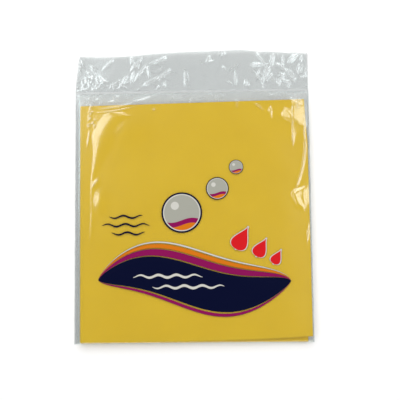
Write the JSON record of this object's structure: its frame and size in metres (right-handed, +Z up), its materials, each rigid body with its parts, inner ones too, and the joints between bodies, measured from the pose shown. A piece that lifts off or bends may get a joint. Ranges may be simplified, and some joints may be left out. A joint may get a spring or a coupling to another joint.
{
  "type": "synthetic chamois cloth",
  "caption": "Yellow synthetic chamois cloth folded flat in a clear welded film bag with a header and a closed hang tab, lying on its back.",
  "frame": {"origin": "middle of the pack's width and length, on the surface that it lies on", "axes": "+Z up through the pack, out of its printed front; +Y from the foot to the header; +X across, to the right as the front is read"},
  "size_m": [0.1994, 0.2468, 0.0062],
  "materials": {
    "chamois": "soft matt nonwoven, warm yellow",
    "clear_film": "clear glossy crinkled film, printed in navy, magenta and orange over the cloth",
    "welded_film": "fused film, slightly frosted"
  },
  "bodies": {
    "pocket": {"chamois_cloth": "chamois", "pocket_front_film": "clear_film", "pocket_back_film": "clear_film", "bottom_fold": "clear_film", "side_weld_left": "welded_film", "side_weld_right": "welded_film", "closing_weld": "welded_film"},
    "header": {"header_back_ply": "clear_film", "header_front_ply": "clear_film", "header_weld_left": "welded_film", "header_weld_right": "welded_film"}
  },
  "joints": [
    {"name": "header_fold", "type": "hinge", "parent": "pocket", "child": "header", "pos_m": [0, 0.09156, 0.0002], "axis": [1, 0, 0], "range_deg": [-135, 135]}
  ]
}
